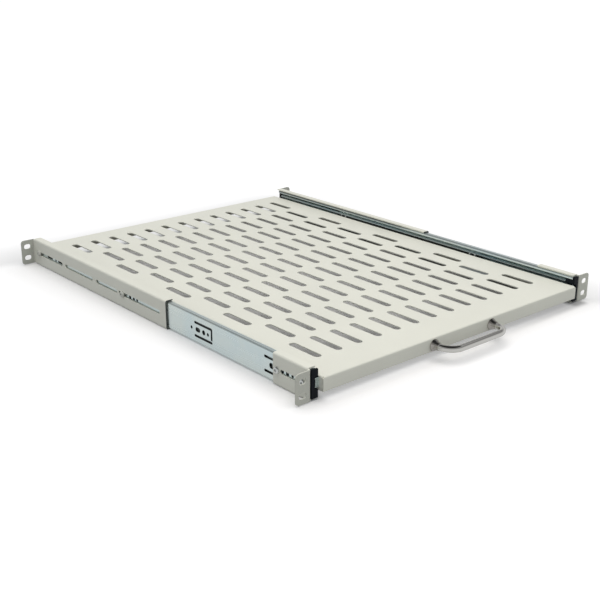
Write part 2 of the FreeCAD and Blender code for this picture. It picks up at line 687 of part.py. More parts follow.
def make_lips():
    """Make the four lips. The side ones stop just short of the others, as on a folded blank."""
    gauge = "Sizes.tray_gauge"
    front = make_lip("front_lip", f"-{TRAY_HALF}", "Sizes.tray_front",
                     TRAY_HALF, f"Sizes.tray_front + {gauge}")
    feet = new_sketch(front, "handle_holes", "XZ_Plane", "-Sizes.tray_front")
    for side in ("Sizes.handle_span / 2", "-Sizes.handle_span / 2"):
        draw_hole(feet, side, "Sizes.handle_height", "Sizes.hole_diameter")
    cut(front, "handle_pierce", feet, "Sizes.lip_height", symmetric=True)

    make_lip("rear_lip", f"-{TRAY_HALF}", f"{TRAY_REAR} - {gauge}", TRAY_HALF, TRAY_REAR)

    inset = f"({gauge} + Sizes.corner_slit)"
    side = make_lip("side_lip_right", f"{TRAY_HALF} - {gauge}", f"Sizes.tray_front + {inset}",
                    TRAY_HALF, f"{TRAY_REAR} - {inset}")
    holes = new_sketch(side, "side_lip_holes", "YZ_Plane")
    for place in tray_screw_places():
        draw_hole(holes, place, "0", "Sizes.hole_diameter")
    cut(side, "side_lip_pierce", holes)


def make_handle():
    """Bend the handle's bar, and make its collars and the screws behind the lip."""
    body = new_body("handle_bar")
    half = size("Sizes.handle_span / 2")
    bend = size("Sizes.handle_bend")
    foot = size("Sizes.tray_front")
    reach = foot - size("Sizes.handle_reach")
    path = new_sketch(body, "handle_path", "XY_Plane", "Sizes.handle_height")
    diagonal = bend * (1 - math.sqrt(0.5))
    points = [Vector(-half, foot, 0), Vector(-half, reach + bend, 0),
              Vector(-half + diagonal, reach + diagonal, 0), Vector(-half + bend, reach, 0),
              Vector(half - bend, reach, 0), Vector(half - diagonal, reach + diagonal, 0),
              Vector(half, reach + bend, 0), Vector(half, foot, 0)]
    path.addGeometry(Part.LineSegment(points[0], points[1]))
    path.addGeometry(Part.Arc(*points[1:4]))
    path.addGeometry(Part.LineSegment(points[3], points[4]))
    path.addGeometry(Part.Arc(*points[4:7]))
    path.addGeometry(Part.LineSegment(points[6], points[7]))
    profile = new_sketch(body, "handle_profile", "XZ_Plane", "-Sizes.tray_front")
    draw_pin(profile, "-Sizes.handle_span / 2", "Sizes.handle_height", "Sizes.bar_diameter",
             4 * HALF_TURN_CHORDS)
    sweep = body.newObject("PartDesign::AdditivePipe", "handle_bend_up")
    sweep.Profile = profile
    sweep.Spine = (path, [f"Edge{number}" for number in range(1, 6)])
    taps = new_sketch(body, "handle_taps", "XZ_Plane", "-Sizes.tray_front")
    for side in ("Sizes.handle_span / 2", "-Sizes.handle_span / 2"):
        draw_hole(taps, side, "Sizes.handle_height", "Sizes.screw_diameter")
    cut(body, "handle_tap", taps, "Sizes.handle_screw_depth + 1", symmetric=False, backwards=True)

    collars = new_body("handle_collars")
    foot_round = new_sketch(collars, "collar_round", "XZ_Plane", "-Sizes.tray_front")
    draw_pin(foot_round, "-Sizes.handle_span / 2", "Sizes.handle_height", "Sizes.collar_diameter",
             6 * HALF_TURN_CHORDS)
    flare = add_feature(collars, "Pad", "collar_flare", foot_round, "Sizes.collar_length")
    flare.setExpression("TaperAngle",
                        "-atan((Sizes.collar_diameter - Sizes.collar_tip) / 2 / Sizes.collar_length)")
    bore_round = new_sketch(collars, "collar_bore_round", "XZ_Plane", "-Sizes.tray_front")
    draw_hole(bore_round, "-Sizes.handle_span / 2", "Sizes.handle_height",
              "Sizes.bar_diameter + Sizes.race_clearance", 6 * HALF_TURN_CHORDS)
    bore = cut(collars, "collar_bore", bore_round, "3 * Sizes.collar_length")
    pattern(collars, "collar_pair", [flare, bore], [2], ["Sizes.handle_span"], ["X_Axis"])

    screws = new_body("handle_screws")
    screw = make_screw(screws, "handle_screw", "XZ_Plane", ("-Sizes.handle_span / 2", "Sizes.handle_height"),
                       "-Sizes.tray_front - Sizes.tray_gauge",
                       "-Sizes.tray_front + Sizes.handle_screw_depth", -1)
    pattern(screws, "handle_screw_pair", screw, [2], ["Sizes.handle_span"], ["X_Axis"])
    top = size("Sizes.tray_front + Sizes.tray_gauge + Sizes.head_height")
    dress_edges(screws, "Chamfer", "handle_screw_crowns", "Sizes.head_height - Sizes.head_rim",
                lambda edge: edge_lies(edge, y=top))


def mirror_right_pieces():
    """Add the mirror image of every right-hand piece."""
    for piece in [item for item in sub_parts if item.Label.endswith("_right")]:
        label = piece.Label.replace("_right", "_left")
        image = doc.addObject("Part::Mirroring", label)
        image.Label = label
        image.Source = piece
        image.Normal = Vector(1, 0, 0)
        sub_parts.append(image)


def write_parts():
    """Check every object and write one file for each sub-part."""
    doc.recompute()
    for item in doc.Objects:
        if "Invalid" in item.State or "Error" in item.State:
            raise RuntimeError(f"{item.Label} failed: {item.State}")
    for piece in sub_parts:
        if piece.Shape.isNull() or not piece.Shape.isValid():
            raise RuntimeError(f"{piece.Label} has no valid shape")
    os.makedirs("parts", exist_ok=True)
    for piece in sub_parts:
        piece.Shape.exportStep(f"parts/{piece.Label}.step")
        print(piece.Label, len(piece.Shape.Solids), round(piece.Shape.Volume))


make_outer_rail()
make_rail("middle_rail_right", middle_rail_runs(), "Sizes.middle_rail_front", "Sizes.middle_rail_length")
make_inner_rail()
make_cage("outer", GAUGE + CAGE_ROOM / 2, OUTER_BALL)
make_cage("inner", MIDDLE_WEB + GAUGE / 2 + CAGE_ROOM / 2, INNER_BALL)
make_bumper()
make_rear_stop()
make_front_bracket()
make_rear_bracket()
make_side_screws()
make_spacers()
make_deck()
make_lips()
make_handle()
mirror_right_pieces()
write_parts()
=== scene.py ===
"""Looks of a sliding rack shelf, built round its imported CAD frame. Lengths are in metres."""

import json
import logging
import math
from dataclasses import dataclass
from enum import Enum

import bmesh
import bpy
from bmesh.types import BMEdge, BMesh, BMFace, BMVert
from bpy.types import Material, Node, NodeSocket, NodeTree, Object
from mathutils import Euler, Matrix, Vector

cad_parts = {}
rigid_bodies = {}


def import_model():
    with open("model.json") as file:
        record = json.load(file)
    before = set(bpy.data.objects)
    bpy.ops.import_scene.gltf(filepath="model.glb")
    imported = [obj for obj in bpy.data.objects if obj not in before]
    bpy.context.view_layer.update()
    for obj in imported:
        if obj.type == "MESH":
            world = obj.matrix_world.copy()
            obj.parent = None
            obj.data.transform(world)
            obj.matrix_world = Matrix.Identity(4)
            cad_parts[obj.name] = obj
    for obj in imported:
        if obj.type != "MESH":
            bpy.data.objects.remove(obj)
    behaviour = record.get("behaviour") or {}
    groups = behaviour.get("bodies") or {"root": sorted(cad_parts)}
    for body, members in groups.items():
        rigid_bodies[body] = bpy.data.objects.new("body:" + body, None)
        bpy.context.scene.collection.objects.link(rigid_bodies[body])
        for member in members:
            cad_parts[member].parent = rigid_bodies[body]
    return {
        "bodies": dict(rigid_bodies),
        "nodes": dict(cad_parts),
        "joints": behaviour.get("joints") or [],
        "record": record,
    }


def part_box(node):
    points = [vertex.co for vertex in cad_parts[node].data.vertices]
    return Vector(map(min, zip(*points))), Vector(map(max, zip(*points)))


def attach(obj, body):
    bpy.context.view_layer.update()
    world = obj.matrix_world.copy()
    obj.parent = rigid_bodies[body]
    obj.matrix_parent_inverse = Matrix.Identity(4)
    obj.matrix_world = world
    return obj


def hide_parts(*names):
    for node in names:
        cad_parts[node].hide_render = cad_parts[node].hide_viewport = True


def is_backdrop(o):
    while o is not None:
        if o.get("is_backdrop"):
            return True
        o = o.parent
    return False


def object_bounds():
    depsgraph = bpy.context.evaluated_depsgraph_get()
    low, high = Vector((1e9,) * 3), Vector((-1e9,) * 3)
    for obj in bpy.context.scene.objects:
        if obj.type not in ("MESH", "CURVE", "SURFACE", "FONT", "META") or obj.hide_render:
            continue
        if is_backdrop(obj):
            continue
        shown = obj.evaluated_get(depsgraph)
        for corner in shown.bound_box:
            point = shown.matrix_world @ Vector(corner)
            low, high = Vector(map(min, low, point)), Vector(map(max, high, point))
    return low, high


log = logging.getLogger("sliding_rack_shelf")

MM = 0.001
WELD = 0.002 * MM


class Side(Enum):
    """The two sides of the rack, with the sign of X that each has."""

    LEFT = -1
    RIGHT = 1

    def named(self, piece: str) -> str:
        """Return a piece's name with this side at its end."""
        return f"{piece}_{self.name.lower()}"


class Grain(Enum):
    """How a metal's fine marks run, as the stretch of its noise along X, Y and Z."""

    ROLLED = (320.0, 5.0, 320.0)
    TURNED = (240.0, 240.0, 240.0)
    DRAWN = (9.0, 420.0, 420.0)


def feed(tree: NodeTree, socket: NodeSocket, value: object) -> None:
    """Join a value to an input if it is a socket itself, or else write it there."""
    if isinstance(value, NodeSocket):
        tree.links.new(value, socket)
    else:
        socket.default_value = value


def add_node(tree: NodeTree, kind: str, inputs: dict | None = None, **settings: object) -> Node:
    """Add a node.

    Args:
        tree: The nodes to add it to.
        kind: The node's type.
        inputs: Sockets or plain values for its inputs, by their names or numbers.
        settings: The node's own settings.

    Returns:
        The node.
    """
    node = tree.nodes.new(kind)
    for name, value in settings.items():
        setattr(node, name, value)
    for name, value in (inputs or {}).items():
        feed(tree, node.inputs[name], value)
    return node


class NodeBench:
    """One material's node tree, with short ways to add and join nodes."""

    NOISE_RANGE = (0.3, 0.7)

    def __init__(self, name: str) -> None:
        """Start an empty material with a principled shader.

        Args:
            name: The material's name.
        """
        self.material = bpy.data.materials.new(name)
        self.material.use_nodes = True
        self.tree = self.material.node_tree
        self.shader = self.tree.nodes["Principled BSDF"]
        self.coordinates = add_node(self.tree, "ShaderNodeTexCoord").outputs["Object"]

    def set(self, **values: object) -> None:
        """Give values or sockets to the shader's inputs, with underscores for spaces in their names."""
        for name, value in values.items():
            feed(self.tree, self.shader.inputs[name.replace("_", " ")], value)

    def noise(self, scale: float, detail: float = 2.0, stretch: tuple | None = None) -> NodeSocket:
        """Add a noise on the piece's own coordinates.

        Args:
            scale: Cells in a metre.
            detail: Octaves of finer noise.
            stretch: Factors along X, Y and Z, where the noise runs in one direction.

        Returns:
            The noise's height, from 0 to 1.
        """
        place = self.coordinates
        if stretch is not None:
            place = add_node(self.tree, "ShaderNodeMapping", {"Vector": place, "Scale": stretch}).outputs[0]
        values = {"Vector": place, "Scale": scale, "Detail": detail}
        return add_node(self.tree, "ShaderNodeTexNoise", values).outputs["Fac"]

    def span(self, value: NodeSocket, low: float, high: float) -> NodeSocket:
        """Spread a noise's middle range between two numbers.

        Args:
            value: The noise.
            low: The number for a low noise.
            high: The number for a high noise.

        Returns:
            The spread value.
        """
        return map_range(self.tree, value, self.NOISE_RANGE, (low, high))

    def mix(self, factor: NodeSocket, *colours: NodeSocket | tuple, blend: str = "MIX") -> NodeSocket:
        """Return two colours mixed by a factor, as mix_colours does."""
        return mix_colours(self.tree, factor, *colours, blend)

    def step(self, value: NodeSocket, low: float, high: float) -> NodeSocket:
        """Return 0 where a value is under low, 1 where it is over high, and a smooth change between."""
        return smooth_step(self.tree, value, low, high)

    def bump(self, heights: list[tuple[NodeSocket, float]], depth: float) -> None:
        """Put one or more noises on the surface as a chain of bumps.

        Args:
            heights: Each noise with the strength of its bump.
            depth: The bumps' depth.
        """
        below: dict = {}
        for height, strength in heights:
            values = {"Height": height, "Strength": strength, "Distance": depth, **below}
            below = {"Normal": add_node(self.tree, "ShaderNodeBump", values).outputs["Normal"]}
        self.set(**below)


def mix_colours(tree: NodeTree, factor: NodeSocket, low: NodeSocket | tuple, high: NodeSocket | tuple,
                blend: str = "MIX") -> NodeSocket:
    """Mix two colours by a factor.

    Args:
        tree: The nodes to add the mix to.
        factor: The mix, from 0 to 1.
        low: The colour at 0, as a socket or a plain colour.
        high: The colour at 1, in the same way.
        blend: How the two are blended.

    Returns:
        The mixed colour.
    """
    mix = add_node(tree, "ShaderNodeMix", {"Factor": factor}, data_type="RGBA", blend_type=blend)
    sockets = (socket for socket in mix.inputs if socket.type == "RGBA")
    for socket, colour in zip(sockets, (low, high)):
        feed(tree, socket, colour if isinstance(colour, NodeSocket) else (*colour, 1.0))
    return next(socket for socket in mix.outputs if socket.type == "RGBA")


def axes(tree: NodeTree, vector: NodeSocket) -> tuple:
    """Split a vector and return its X, Y and Z sockets."""
    return tuple(add_node(tree, "ShaderNodeSeparateXYZ", {0: vector}).outputs)


def map_range(tree: NodeTree, value: NodeSocket, given: tuple, wanted: tuple,
              kind: str = "LINEAR") -> NodeSocket:
    """Map a value from one range to another.

    Args:
        tree: The nodes to add it to.
        value: The value.
        given: The ends of its own range.
        wanted: The ends of the range it is mapped to.
        kind: How the value runs between the ends.

    Returns:
        The mapped value.
    """
    names = ("Value", "From Min", "From Max", "To Min", "To Max")
    values = dict(zip(names, (value, *given, *wanted)))
    return add_node(tree, "ShaderNodeMapRange", values, interpolation_type=kind).outputs["Result"]


def smooth_step(tree: NodeTree, value: NodeSocket, low: float, high: float) -> NodeSocket:
    """Add a smooth step between two numbers.

    Args:
        tree: The nodes to add it to.
        value: The value that is compared.
        low: The number where the step starts, at 0.
        high: The number where the step ends, at 1. It may be under low.

    Returns:
        The step's height.
    """
    ends = (0.0, 1.0) if high > low else (1.0, 0.0)
    return map_range(tree, value, (min(low, high), max(low, high)), ends, "SMOOTHSTEP")


def combine(tree: NodeTree, operation: str, *values: NodeSocket | float) -> NodeSocket:
    """Join values two by two with one operation of arithmetic.

    Args:
        tree: The nodes to add it to.
        operation: The operation's name.
        values: Sockets or plain numbers, the first of them a socket.

    Returns:
        The result.
    """
    result, *others = values
    for other in others:
        result = add_node(tree, "ShaderNodeMath", {0: result, 1: other}, operation=operation).outputs[0]
    return result


def shade(colour: tuple, factor: float) -> tuple:
    """Return a colour with each channel multiplied by a factor, and no channel over 1."""
    return tuple(min(channel * factor, 1.0) for channel in colour)


@dataclass(frozen=True)
class PowderCoat:
    """Baked powder paint: a fine orange peel over slow changes of shade."""

    name: str
    colour: tuple
    roughness: tuple = (0.40, 0.52)
    gloss_scale: float = 45.0
    shades: tuple = (0.975, 1.02)
    cloud_scale: float = 11.0
    # Scale and strength of the peel's noises
    peel: tuple = ((1900.0, 0.22), (260.0, 0.12))
    peel_depth: float = 0.08 * MM
    band_edge: float = 0.1 * MM
    # Stretches of the length with painted shade of their own, such as a darker ear or the dark line of shade
    # at a sheet's front edge
    shade_bands: tuple = ()

    def material(self) -> Material:
        """Return the finish as a material."""
        bench = NodeBench(self.name)
        cloud = bench.span(bench.noise(self.cloud_scale, 3.0), 0.0, 1.0)
        colour = bench.mix(cloud, *(shade(self.colour, factor) for factor in self.shades))
        _, along, _ = axes(bench.tree, bench.coordinates)
        edge = self.band_edge
        # Each band paints shade over its stretch of the length
        for start, end, tone in self.shade_bands:
            shade_band = combine(bench.tree, "MULTIPLY", bench.step(along, start - edge, start + edge),
                           bench.step(along, end + edge, end - edge))
            colour = bench.mix(shade_band, colour, tone)
        gloss = bench.span(bench.noise(self.gloss_scale, 4.0), *self.roughness)
        bench.set(Base_Color=colour, Roughness=gloss, Specular_IOR_Level=0.45, Coat_Weight=0.08,
                  Coat_Roughness=0.35)
        bench.bump([(bench.noise(scale), strength) for scale, strength in self.peel], self.peel_depth)
        return bench.material


@dataclass(frozen=True)
class PlatedSteel:
    """Plated or bare steel with marks that follow how it was worked."""

    name: str
    colour: tuple
    second: tuple
    grain: Grain
    roughness: tuple = (0.22, 0.36)
    marks: float = 0.12
    mark_depth: float = 0.03 * MM
    pit_scale: float = 900.0
    bloom_scale: float = 26.0

    def material(self) -> Material:
        """Return the finish as a material."""
        bench = NodeBench(self.name)
        bloom = bench.span(bench.noise(self.bloom_scale, 4.0), 0.0, 1.0)
        colour = self.add_painted_shade(bench, bench.mix(bloom, self.colour, self.second))
        streaks = bench.noise(1.0, 3.0, self.grain.value)
        bench.set(Base_Color=colour, Roughness=bench.span(streaks, *self.roughness), Metallic=1.0)
        bench.bump([(streaks, self.marks), (bench.noise(self.pit_scale), self.marks / 2)], self.mark_depth)
        return bench.material

    def add_painted_shade(self, bench: NodeBench, colour: NodeSocket) -> NodeSocket:
        """Return the metal's colour with its painted shade, which here is none."""
        return colour


@dataclass(frozen=True)
class SlideZinc(PlatedSteel):
    """Zinc of the slides' rails: bright outside, with painted shade inside and under the rear bracket."""

    # Painted shade, as the brightness left inside the rail, at its foot, under the rear bracket's web and
    # under its flanges
    inside_shade: float = 0.14
    below: float = 0.3
    covered_shade: float = 0.86
    shaded: float = 0.4
    # Distance of the web's inner side from the shelf's middle plane, and heights from the rail's middle line
    web: float = 0.2192
    middle: float = 0.0075
    lip: float = 0.0136
    edge: float = 0.4 * MM
    # Where the painted shade fades in: across, up and along
    skin: tuple = (0.2208, 0.2207)
    wall_top: tuple = (0.0130, 0.0124)
    foot: tuple = (-0.0160, -0.0156)
    front: tuple = (0.003, 0.006)
    rear: tuple = (0.258, 0.322)

    def add_painted_shade(self, bench: NodeBench, colour: NodeSocket) -> NodeSocket:
        """Return the metal's colour with painted shade inside the rail and under the rear bracket."""
        across, along, up = axes(bench.tree, bench.coordinates)
        width, height = (combine(bench.tree, "ABSOLUTE", value, 0.0) for value in (across, up))
        outer = self._over(bench, width, self.web)
        front, rear = bench.step(along, *self.front), bench.step(along, *self.rear)
        hollow = (self._under(bench, width, self.web), front)
        # Each mask paints shade: inside the rail, on the walls of its holes, at its foot and under the rear
        # bracket
        for factor, *masks in (
                (self.inside_shade, *hollow, self._under(bench, height, self.middle)),
                (self.inside_shade, outer, bench.step(width, *self.skin), bench.step(height, *self.wall_top),
                 front),
                (self.below, *hollow, self._under(bench, up, -self.middle), bench.step(up, *self.foot)),
                (self.covered_shade, rear, outer), (self.shaded, rear, self._over(bench, height, self.lip))):
            mask = combine(bench.tree, "MULTIPLY", *masks)
            colour = bench.mix(mask, colour, (factor,) * 3, blend="MULTIPLY")
        return colour

    def _over(self, bench: NodeBench, value: NodeSocket, place: float) -> NodeSocket:
        """Return 1 where a value is over a place, with a soft edge."""
        return bench.step(value, place - self.edge, place + self.edge)

    def _under(self, bench: NodeBench, value: NodeSocket, place: float) -> NodeSocket:
        """Return 1 where a value is under a place, with a soft edge."""
        return bench.step(value, place + self.edge, place - self.edge)


@dataclass(frozen=True)
class Moulded:
    """Black plastic or rubber with a fine spark-eroded texture."""

    name: str
    colour: tuple
    roughness: tuple
    texture: float
    relief: float = 0.3
    texture_depth: float = 0.06 * MM
    gloss_scale: float = 140.0
    haze: float = 1.6
    haze_scale: float = 90.0

    def material(self) -> Material:
        """Return the finish as a material."""
        bench = NodeBench(self.name)
        haze = bench.span(bench.noise(self.haze_scale, 3.0), 0.0, 1.0)
        colour = bench.mix(haze, self.colour, shade(self.colour, self.haze))
        gloss = bench.span(bench.noise(self.gloss_scale, 3.0), *self.roughness)
        bench.set(Base_Color=colour, Roughness=gloss, Specular_IOR_Level=0.1)
        bench.bump([(bench.noise(self.texture), self.relief)], self.texture_depth)
        return bench.material


PAINT = (0.80, 0.79, 0.695)
BRIGHT_ZINC = ((0.68, 0.79, 0.81), (0.76, 0.83, 0.80))
FINISHES = {
    "painted_sheet": PowderCoat("light_grey_powder_coat", PAINT),
    # The front ears' darker tone is painted shade
    "front_bracket_paint": PowderCoat("front_bracket_coat", PAINT,
                                      shade_bands=((-0.01, 0.0002, (0.60, 0.60, 0.525)),)),
    # A dark line of painted shade at the rear bracket's front edge, and a darker rear ear, also painted shade
    "rear_bracket_paint": PowderCoat("rear_bracket_coat", PAINT,
                                     shade_bands=((0.25, 0.2544, (0.06, 0.068, 0.066)),
                                            (0.584, 0.6, (0.49, 0.495, 0.44)))),
    # A darker copy of the paint, as painted shade that keeps the clamp screws' heads from looking lit
    "shaded_screw_paint": PowderCoat("screw_powder_coat", (0.60, 0.60, 0.54)),
    "zinc_rail": SlideZinc("rolled_zinc", *BRIGHT_ZINC, Grain.ROLLED),
    # The middle and inner rails take a lighter painted shade inside
    "moving_rail": SlideZinc("running_zinc", *BRIGHT_ZINC, Grain.ROLLED, inside_shade=0.85, below=0.6),
    "zinc_screw": PlatedSteel("turned_zinc", (0.62, 0.65, 0.66), (0.70, 0.70, 0.66), Grain.TURNED),
    # The cages' zinc is a darker copy, as painted shade, and takes the same painted shade inside the rail
    "cage_steel": SlideZinc("greased_zinc", (0.45, 0.49, 0.50), (0.52, 0.56, 0.56), Grain.ROLLED,
                            (0.3, 0.45)),
    "ball_steel": PlatedSteel("ground_ball_steel", (0.70, 0.70, 0.71), (0.74, 0.74, 0.74), Grain.TURNED,
                              (0.06, 0.12), 0.03),
    "handle_chrome": PlatedSteel("bright_chrome", (0.66, 0.65, 0.62), (0.71, 0.70, 0.67),
                                 Grain.DRAWN, (0.05, 0.11), 0.03),
    # A darker copy of the chrome, as a painted dark reflection on the handle's feet
    "handle_feet": PlatedSteel("dark_chrome", (0.40, 0.38, 0.35), (0.46, 0.44, 0.41), Grain.TURNED,
                               (0.2, 0.32), 0.03),
    "black_plastic": Moulded("black_moulded_plastic", (0.004, 0.006, 0.009), (0.38, 0.5), 1400.0),
    "black_rubber": Moulded("black_rubber", (0.016, 0.016, 0.016), (0.65, 0.8), 900.0),
}


@dataclass
class Workshop:
    """The loaded frame, with the finishes that dress its nodes and the new pieces."""

    frame: dict

    def __post_init__(self) -> None:
        """Make every finish and dress the CAD nodes in them."""
        self.materials = {slot: finish.material() for slot, finish in FINISHES.items()}
        self.slots = {row["node"]: row["material_slot"] for row in self.frame["record"]["subparts"]}
        self.bodies = {node: body for body, nodes in self.frame["record"]["behaviour"]["bodies"].items()
                       for node in nodes}
        for node, piece in self.frame["nodes"].items():
            piece.data.materials.clear()
            piece.data.materials.append(self.materials[self.slots[node]])

    def add(self, bm: BMesh, name: str, *nodes: str, finish: str = "") -> Object:
        """Turn a bmesh into a piece that stands for CAD nodes of one body.

        Args:
            bm: The finished shape, which is freed.
            name: The piece's name.
            nodes: The CAD nodes that the piece replaces.
            finish: The name of a finish, where it isn't that of the nodes' slot.

        Returns:
            The new object.
        """
        mesh = bpy.data.meshes.new(name)
        bmesh.ops.recalc_face_normals(bm, faces=bm.faces)
        bm.to_mesh(mesh)
        bm.free()
        mesh.shade_smooth()
        mesh.materials.append(self.materials[finish or self.slots[nodes[0]]])
        piece = bpy.data.objects.new(name, mesh)
        bpy.context.scene.collection.objects.link(piece)
        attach(piece, self.bodies[nodes[0]])
        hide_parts(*nodes)
        log.info("%s stands for %s, %d faces", name, ", ".join(nodes), len(mesh.polygons))
        return piece


def edges_of(made: list) -> list[BMEdge]:
    """Return the edges among what an operator made."""
    return [item for item in made if isinstance(item, BMEdge)]


def verts_of(made: list) -> list[BMVert]:
    """Return the points among what an operator made."""
    return [item for item in made if isinstance(item, BMVert)]


def face_of(made: list) -> BMFace:
    """Return the first face among what an operator made."""
    return next(item for item in made if isinstance(item, BMFace))


def extrude_cap(bm: BMesh, face: BMFace) -> list:
    """Extrude a face in place. The face stays only if it is a first disc, as the far end of the solid.

    Args:
        bm: The mesh.
        face: A lone disc, or the cap of a solid.

    Returns:
        The new vertices, edges and faces.
    """
    first = all(edge.is_boundary for edge in face.edges)
    made = bmesh.ops.extrude_face_region(bm, geom=[face])["geom"]
    if not first:
        bmesh.ops.delete(bm, geom=[face], context="FACES_ONLY")
    return made


def flatten_normals(piece: Object, angle: float = 40.0) -> None:
    """Keep wide faces flat beside narrow bevels, and sharp edges sharp.

    Args:
        piece: The object.
        angle: The angle in degrees over which an edge stays sharp.
    """
    piece.data.set_sharp_from_angle(angle=math.radians(angle))
    weights = piece.modifiers.new("flat_faces", "WEIGHTED_NORMAL")
    weights.keep_sharp = True


@dataclass(frozen=True)
class Opening:
    """A round hole or round-ended slot along the middle of an upright web."""

    # Ends and width in millimetres
    front: float
    rear: float
    width: float
    # Shares of the radius between which a point is the rim's, and under which a chord's middle lies
    rim: tuple = (0.5, 1.2)
    chord: float = 0.98
    level: float = 0.1 * MM

    @property
    def radius(self) -> float:
        """Half the opening's width, in metres."""
        return self.width * MM / 2

    def spoke(self, point: Vector) -> Vector:
        """Return the way to a point from the opening's centre line."""
        first, last = self.front * MM + self.radius, self.rear * MM - self.radius
        return Vector((0, point.y - min(max(point.y, first), last), point.z))

    def touches(self, point: Vector) -> bool:
        """Tell whether a point is at the opening's rim."""
        return self.rim[0] < self.spoke(point).length / self.radius < self.rim[1]

    def bridges(self, first: Vector, second: Vector) -> bool:
        """Tell whether an edge between two points is a chord of one of the opening's ends."""
        reach = max(self.spoke(first).length, self.spoke(second).length)
        if abs(first.x - second.x) >= self.level or reach >= self.rim[1] * self.radius:
            return False
        return self.spoke((first + second) / 2).length < self.chord * reach


@dataclass
class SoftEdges:
    """A CAD node with its sharp edges broken, as tumbling, paint or a mould leaves them."""

    shop: Workshop
    node: str
    width: float = 0.25 * MM
    segments: int = 2
    corner: float = 60.0
    finish: str = ""
    openings: tuple = ()
    round_cuts: int = 4
    # Degrees under which two faces are one, and how near the web's faces are to upright and to their plane
    flat: float = 0.5
    upright: float = 0.999
    level: float = 0.02 * MM

    def build(self) -> Object:
        """Merge a copy of the node's triangles, bevel its sharp edges and return the new piece."""
        bm = bmesh.new()
        bm.from_mesh(self.shop.frame["nodes"][self.node].data)
        bmesh.ops.remove_doubles(bm, verts=bm.verts, dist=WELD)
        bmesh.ops.dissolve_limit(bm, angle_limit=math.radians(self.flat), verts=bm.verts, edges=bm.edges,
                                 use_dissolve_boundaries=False)
        if self.openings:
            self._round_openings(bm)
        corner = math.radians(self.corner)
        sharp = [edge for edge in bm.edges if edge.is_manifold and edge.calc_face_angle(0.0) > corner]
        bmesh.ops.bevel(bm, geom=sharp, offset=self.width, offset_type="OFFSET", segments=self.segments,
                        profile=0.5, affect="EDGES", material=-1, clamp_overlap=True)
        bmesh.ops.remove_doubles(bm, verts=bm.verts, dist=WELD / 2)
        piece = self.shop.add(bm, f"soft_{self.node}", self.node, finish=self.finish)
        flatten_normals(piece)
        return piece

    def _round_openings(self, bm: BMesh) -> None:
        """Turn the chords at the ends of the web's openings into true rounds, and fill the web again.

        Args:
            bm: The piece.
        """
        rims = {vert for vert in bm.verts if any(opening.touches(vert.co) for opening in self.openings)}
        web = [face for face in bm.faces
               if abs(face.normal.x) > self.upright and rims.intersection(face.verts)]
        planes = {round(face.verts[0].co.x, 5) for face in web}
        bmesh.ops.delete(bm, geom=web, context="FACES")
        for opening in self.openings:
            chords = [edge for edge in bm.edges if opening.bridges(*(vert.co for vert in edge.verts))]
            bmesh.ops.subdivide_edges(bm, edges=chords, cuts=self.round_cuts, use_grid_fill=True)
            for vert in bm.verts:
                if opening.touches(vert.co):
                    away = opening.spoke(vert.co)
                    bmesh.ops.translate(bm, vec=away * (opening.radius / away.length - 1), verts=[vert])
        for plane in planes:
            border = [edge for edge in bm.edges if edge.is_boundary
                      and all(abs(vert.co.x - plane) < self.level for vert in edge.verts)]
            bmesh.ops.triangle_fill(bm, use_beauty=True, edges=border, normal=(1, 0, 0))
        bmesh.ops.recalc_face_normals(bm, faces=bm.faces)


